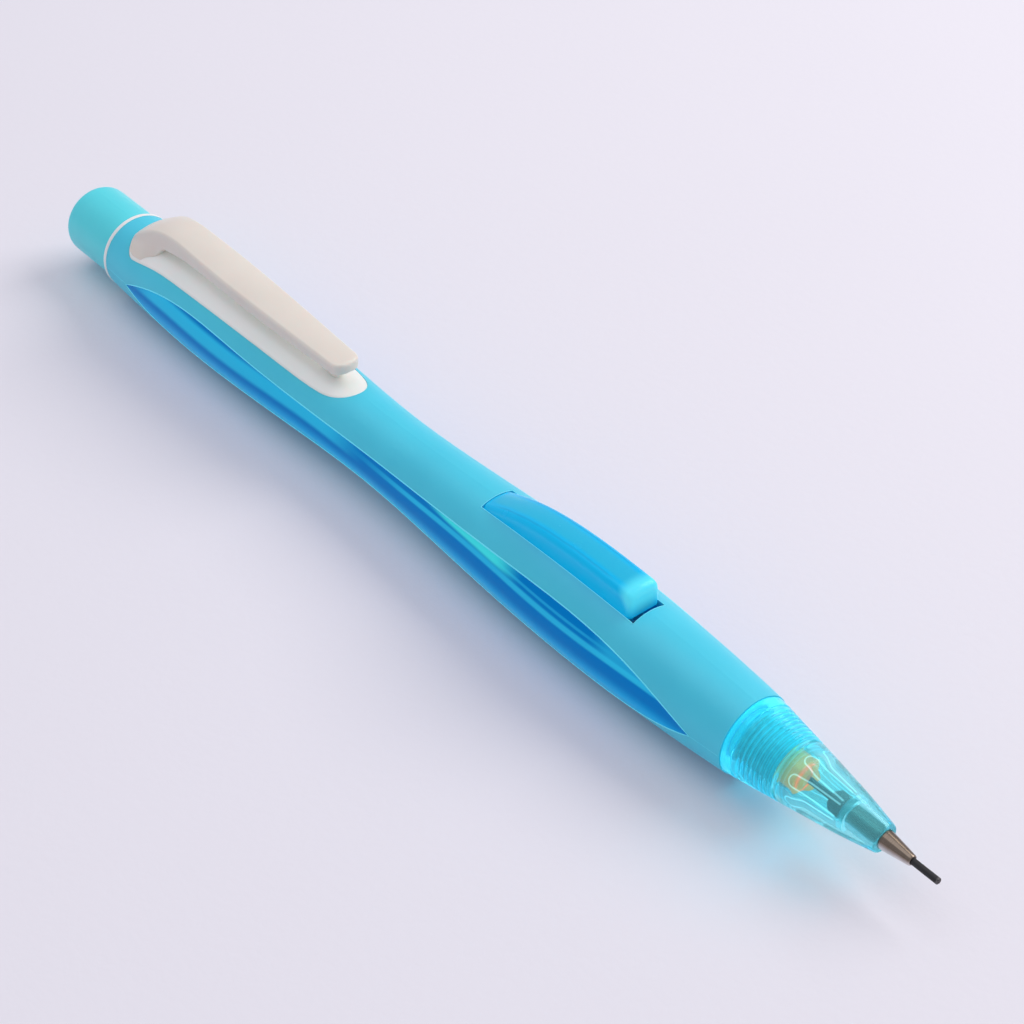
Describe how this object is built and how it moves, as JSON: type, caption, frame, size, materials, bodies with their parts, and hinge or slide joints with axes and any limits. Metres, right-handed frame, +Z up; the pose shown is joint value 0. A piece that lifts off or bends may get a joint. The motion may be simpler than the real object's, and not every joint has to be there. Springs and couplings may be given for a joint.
{
  "type": "mechanical pencil",
  "caption": "Side-advance mechanical pencil with a waisted two-colour barrel, side lever button, spring clip, screw-off clear cone and metal nozzle.",
  "frame": {"origin": "under the middle of the pencil's length, on the surface that it lies on", "axes": "+X along the pencil towards the lead, +Z up through the clip and the button"},
  "size_m": [0.144, 0.0112, 0.0149],
  "materials": {
    "skin_blue": "soft satin, slightly translucent",
    "window_blue": "clear tinted, polished",
    "white_plastic": "satin",
    "cap_blue": "satin",
    "ferrule_metal": "drawn",
    "eraser_white": "matt",
    "button_cyan": "clear tinted, satin",
    "slider_white": "satin",
    "tube_natural": "milky",
    "graphite": "dull graphite",
    "sleeve_grey": "satin",
    "spring_steel": "drawn wire",
    "brass": "turned",
    "cone_clear": "clear tinted, polished",
    "nickel": "bright nickel plate",
    "retainer_rubber": "matt"
  },
  "bodies": {
    "barrel": {"barrel_shell": "skin_blue", "window_liner": "window_blue", "tail_ring": "white_plastic", "eraser_ferrule": "ferrule_metal", "eraser": "eraser_white", "clip_base": "white_plastic", "front_sleeve": "sleeve_grey", "return_spring": "spring_steel"},
    "cap": {"rear_cap": "cap_blue"},
    "clip": {"clip_arm": "white_plastic"},
    "button": {"side_button": "button_cyan"},
    "magazine": {"lead_tube": "tube_natural", "cam_slider": "slider_white", "tube_joint": "slider_white", "chuck": "brass", "spare_leads": "graphite"},
    "clutch": {"clutch_ring": "brass"},
    "lead": {"active_lead": "graphite"},
    "nose": {"nozzle": "nickel", "lead_retainer": "retainer_rubber"},
    "cone": {"front_cone": "cone_clear"}
  },
  "joints": [
    {"name": "button_press", "type": "hinge", "parent": "barrel", "child": "button", "pos_m": [0.01135, 0, 0.00925], "axis": [0, 1, 0], "range_deg": [0, 6]},
    {"name": "magazine_advance", "type": "slide", "parent": "barrel", "child": "magazine", "axis": [1, 0, 0], "range_m": [0, 0.00163], "stiffness_N_per_m": 600, "springref_m": -0.002, "deforming": ["return_spring"]},
    {"name": "clutch_slip", "type": "slide", "parent": "barrel", "child": "clutch", "axis": [1, 0, 0], "range_m": [0, 0.0008]},
    {"name": "lead_feed", "type": "slide", "parent": "barrel", "child": "lead", "axis": [1, 0, 0], "range_m": [0, 0.0008]},
    {"name": "cap_pull", "type": "slide", "parent": "barrel", "child": "cap", "axis": [-1, 0, 0], "range_m": [0, 0.012]},
    {"name": "clip_flex", "type": "hinge", "parent": "barrel", "child": "clip", "pos_m": [-0.05255, 0, 0.01425], "axis": [0, -1, 0], "range_deg": [0, 5], "stiffness_Nm_per_rad": 1, "springref_deg": -1.15},
    {"name": "cone_draw", "type": "slide", "parent": "barrel", "child": "nose", "axis": [1, 0, 0], "range_m": [0, 0.0062]},
    {"name": "cone_turn", "type": "hinge", "parent": "nose", "child": "cone", "pos_m": [0.049, 0, 0.0056], "axis": [1, 0, 0], "range_deg": [0, 2232]}
  ],
  "couplings": [
    {"joint": "button_press", "follows": "magazine_advance", "rad_per_m": 64.127},
    {"joint": "clutch_slip", "follows": "magazine_advance", "ratio": 0.48095},
    {"joint": "lead_feed", "follows": "magazine_advance", "ratio": 0.48095},
    {"joint": "cone_turn", "follows": "cone_draw", "rad_per_m": 6283.2}
  ]
}
